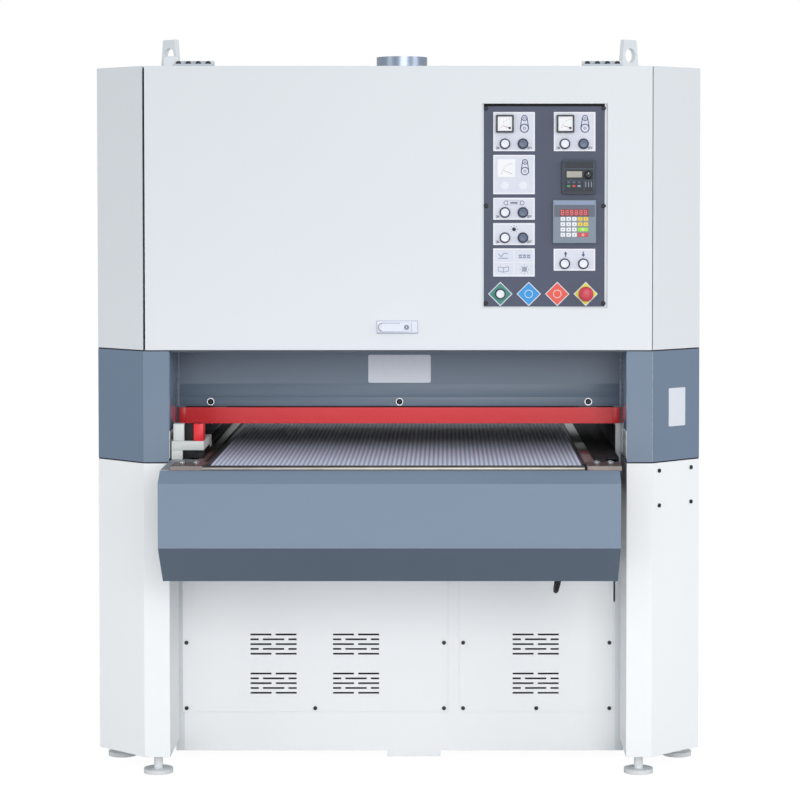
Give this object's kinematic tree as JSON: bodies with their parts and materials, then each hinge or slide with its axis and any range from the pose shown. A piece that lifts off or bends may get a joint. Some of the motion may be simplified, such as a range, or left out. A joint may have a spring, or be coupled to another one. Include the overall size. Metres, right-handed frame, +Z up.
{
  "type": "wide belt sander",
  "caption": "Wide belt sander: chamfered cabinet on a base frame, rising feed table, sanding heads inside, top-hinged front door with control plate, red safety bar at the infeed.",
  "frame": {"origin": "on the floor, under the middle of the machine's bounding box", "axes": "+Z up, +Y along the feed from infeed to outfeed, +X to the right as seen from the infeed"},
  "size_m": [1.664, 1.95, 2.024],
  "materials": {
    "frame_white": "powder coat",
    "cover_white": "fine textured powder coat",
    "cover_grey": "powder coat",
    "infeed_grey": "powder coat",
    "bar_red": "gloss paint",
    "rubber_belt": "rough top rubber",
    "foot_steel": "black",
    "zinc_steel": "zinc plated",
    "black_screw": "black oxide",
    "beam_paint": "machine paint",
    "abrasive": "cloth backed abrasive",
    "drive_rubber": "ribbed belt",
    "motor_paint": "machine paint",
    "chain_steel": "oiled",
    "roller_rubber": "ground rubber",
    "roller_steel": "turned",
    "pulley_iron": "turned",
    "rail_steel": "dark enamel",
    "plate_steel": "ground",
    "conduit_black": "smooth",
    "control_grey": "satin",
    "legend_white": "printed",
    "bezel_blue": "moulded",
    "meter_white": "clear window",
    "keypad_dark": "moulded",
    "display_grey": "membrane",
    "latch_zinc": "satin chrome",
    "button_white": "moulded",
    "button_dark": "moulded",
    "stop_red": "moulded",
    "knob_black": "ribbed",
    "hinge_dark": "black enamel"
  },
  "bodies": {
    "machine": {"base_frame": "frame_white", "levelling_feet": "foot_steel", "side_frames": "frame_white", "lower_covers": "cover_white", "band_covers": "cover_grey", "upper_covers": "cover_white", "roof_panel": "cover_white", "rear_panels": "cover_white", "access_panels": "cover_white", "infeed_panel": "infeed_grey", "cover_screws": "black_screw", "lifting_lugs": "frame_white", "dust_outlet": "zinc_steel", "head_beams": "beam_paint", "abrasive_belts": "abrasive", "drive_belts": "drive_rubber", "main_motors": "motor_paint", "lift_drive": "chain_steel"},
    "table": {"table_frame": "rail_steel", "feed_belt": "rubber_belt", "table_end_covers": "cover_grey", "table_edge_plates": "plate_steel", "feed_motor": "motor_paint", "table_conduit": "conduit_black", "lift_screws": "roller_steel"},
    "door": {"door_panel": "cover_white", "door_hinges": "hinge_dark", "door_screws": "black_screw", "control_plate": "control_grey", "legend_plates": "legend_white", "button_bezels": "bezel_blue", "ammeters": "meter_white", "drive_keypad": "keypad_dark", "position_display": "display_grey", "latch_plate": "cover_white"},
    "contact_roller_1": {"contact_roller_1": "roller_rubber"},
    "contact_roller_2": {"contact_roller_2": "roller_rubber"},
    "tension_roller_1": {"tension_roller_1": "roller_steel"},
    "tension_roller_2": {"tension_roller_2": "roller_steel"},
    "motor_pulley_1": {"motor_pulley_1": "pulley_iron"},
    "motor_pulley_2": {"motor_pulley_2": "pulley_iron"},
    "infeed_pressure_roller": {"infeed_pressure_roller": "roller_rubber"},
    "outfeed_pressure_roller": {"outfeed_pressure_roller": "roller_rubber"},
    "idler_roller": {"idler_roller": "roller_steel"},
    "drive_roller": {"drive_roller": "roller_steel"},
    "safety_bar": {"safety_bar": "bar_red"},
    "latch_handle": {"latch_handle": "latch_zinc"},
    "stop_button": {"stop_button": "stop_red"},
    "keypad_knob": {"keypad_knob": "knob_black"},
    "start_button_1": {"start_button_1": "button_white"},
    "start_button_2": {"start_button_2": "button_white"},
    "start_button_3": {"start_button_3": "button_white"},
    "start_button_4": {"start_button_4": "button_white"},
    "table_up_button": {"table_up_button": "button_white"},
    "table_down_button": {"table_down_button": "button_white"},
    "cycle_start_button": {"cycle_start_button": "button_white"},
    "off_button_1": {"off_button_1": "button_dark"},
    "off_button_2": {"off_button_2": "button_dark"},
    "off_button_3": {"off_button_3": "button_dark"},
    "off_button_4": {"off_button_4": "button_dark"}
  },
  "joints": [
    {"name": "contact_roller_1_spin", "type": "hinge", "parent": "machine", "child": "contact_roller_1", "pos_m": [0, -0.155, 1.025], "axis": [1, 0, 0], "continuous": true},
    {"name": "tension_roller_1_spin", "type": "hinge", "parent": "machine", "child": "tension_roller_1", "pos_m": [0, -0.155, 1.739], "axis": [1, 0, 0], "continuous": true},
    {"name": "motor_pulley_1_spin", "type": "hinge", "parent": "machine", "child": "motor_pulley_1", "pos_m": [-0.6, -0.155, 0.29], "axis": [1, 0, 0], "continuous": true},
    {"name": "contact_roller_2_spin", "type": "hinge", "parent": "machine", "child": "contact_roller_2", "pos_m": [0, 0.155, 1.025], "axis": [1, 0, 0], "continuous": true},
    {"name": "tension_roller_2_spin", "type": "hinge", "parent": "machine", "child": "tension_roller_2", "pos_m": [0, 0.155, 1.739], "axis": [1, 0, 0], "continuous": true},
    {"name": "motor_pulley_2_spin", "type": "hinge", "parent": "machine", "child": "motor_pulley_2", "pos_m": [-0.6, 0.155, 0.29], "axis": [1, 0, 0], "continuous": true},
    {"name": "infeed_pressure_roller_spin", "type": "hinge", "parent": "machine", "child": "infeed_pressure_roller", "pos_m": [0, -0.33, 0.972], "axis": [1, 0, 0], "continuous": true},
    {"name": "outfeed_pressure_roller_spin", "type": "hinge", "parent": "machine", "child": "outfeed_pressure_roller", "pos_m": [0, 0.33, 0.972], "axis": [1, 0, 0], "continuous": true},
    {"name": "table_lift", "type": "slide", "parent": "machine", "child": "table", "axis": [0, 0, 1], "range_m": [-0.1, 0.055]},
    {"name": "drive_roller_spin", "type": "hinge", "parent": "table", "child": "drive_roller", "pos_m": [0, 0.8497, 0.81], "axis": [1, 0, 0], "continuous": true},
    {"name": "idler_roller_spin", "type": "hinge", "parent": "table", "child": "idler_roller", "pos_m": [0, -0.8497, 0.81], "axis": [1, 0, 0], "continuous": true},
    {"name": "safety_bar_swing", "type": "hinge", "parent": "machine", "child": "safety_bar", "pos_m": [0, -0.393, 0.984], "axis": [1, 0, 0], "range_deg": [0, 12]},
    {"name": "door_swing", "type": "hinge", "parent": "machine", "child": "door", "pos_m": [0, -0.6, 1.944], "axis": [-1, 0, 0], "range_deg": [0, 75]},
    {"name": "latch_handle_turn", "type": "hinge", "parent": "door", "child": "latch_handle", "pos_m": [0.024, -0.65, 1.228], "axis": [0, 1, 0], "range_deg": [0, 90]},
    {"name": "stop_button_press", "type": "slide", "parent": "door", "child": "stop_button", "axis": [0, 1, 0], "range_m": [0, 0.005]},
    {"name": "keypad_knob_turn", "type": "hinge", "parent": "door", "child": "keypad_knob", "pos_m": [0.51579, -0.66, 1.64056], "axis": [0, -1, 0], "range_deg": [-135, 135]},
    {"name": "start_button_1_press", "type": "slide", "parent": "door", "child": "start_button_1", "axis": [0, 1, 0], "range_m": [0, 0.004], "stiffness_N_per_m": 300},
    {"name": "start_button_2_press", "type": "slide", "parent": "door", "child": "start_button_2", "axis": [0, 1, 0], "range_m": [0, 0.004], "stiffness_N_per_m": 300},
    {"name": "start_button_3_press", "type": "slide", "parent": "door", "child": "start_button_3", "axis": [0, 1, 0], "range_m": [0, 0.004], "stiffness_N_per_m": 300},
    {"name": "start_button_4_press", "type": "slide", "parent": "door", "child": "start_button_4", "axis": [0, 1, 0], "range_m": [0, 0.004], "stiffness_N_per_m": 300},
    {"name": "table_up_button_press", "type": "slide", "parent": "door", "child": "table_up_button", "axis": [0, 1, 0], "range_m": [0, 0.004], "stiffness_N_per_m": 300},
    {"name": "table_down_button_press", "type": "slide", "parent": "door", "child": "table_down_button", "axis": [0, 1, 0], "range_m": [0, 0.004], "stiffness_N_per_m": 300},
    {"name": "cycle_start_button_press", "type": "slide", "parent": "door", "child": "cycle_start_button", "axis": [0, 1, 0], "range_m": [0, 0.004], "stiffness_N_per_m": 300},
    {"name": "off_button_1_press", "type": "slide", "parent": "door", "child": "off_button_1", "axis": [0, 1, 0], "range_m": [0, 0.004], "stiffness_N_per_m": 300},
    {"name": "off_button_2_press", "type": "slide", "parent": "door", "child": "off_button_2", "axis": [0, 1, 0], "range_m": [0, 0.004], "stiffness_N_per_m": 300},
    {"name": "off_button_3_press", "type": "slide", "parent": "door", "child": "off_button_3", "axis": [0, 1, 0], "range_m": [0, 0.004], "stiffness_N_per_m": 300},
    {"name": "off_button_4_press", "type": "slide", "parent": "door", "child": "off_button_4", "axis": [0, 1, 0], "range_m": [0, 0.004], "stiffness_N_per_m": 300}
  ],
  "couplings": [
    {"joint": "tension_roller_1_spin", "follows": "contact_roller_1_spin", "ratio": 1.5},
    {"joint": "motor_pulley_1_spin", "follows": "contact_roller_1_spin", "ratio": 0.875},
    {"joint": "tension_roller_2_spin", "follows": "contact_roller_2_spin", "ratio": 1.5},
    {"joint": "motor_pulley_2_spin", "follows": "contact_roller_2_spin", "ratio": 0.875},
    {"joint": "idler_roller_spin", "follows": "drive_roller_spin", "ratio": 1}
  ]
}
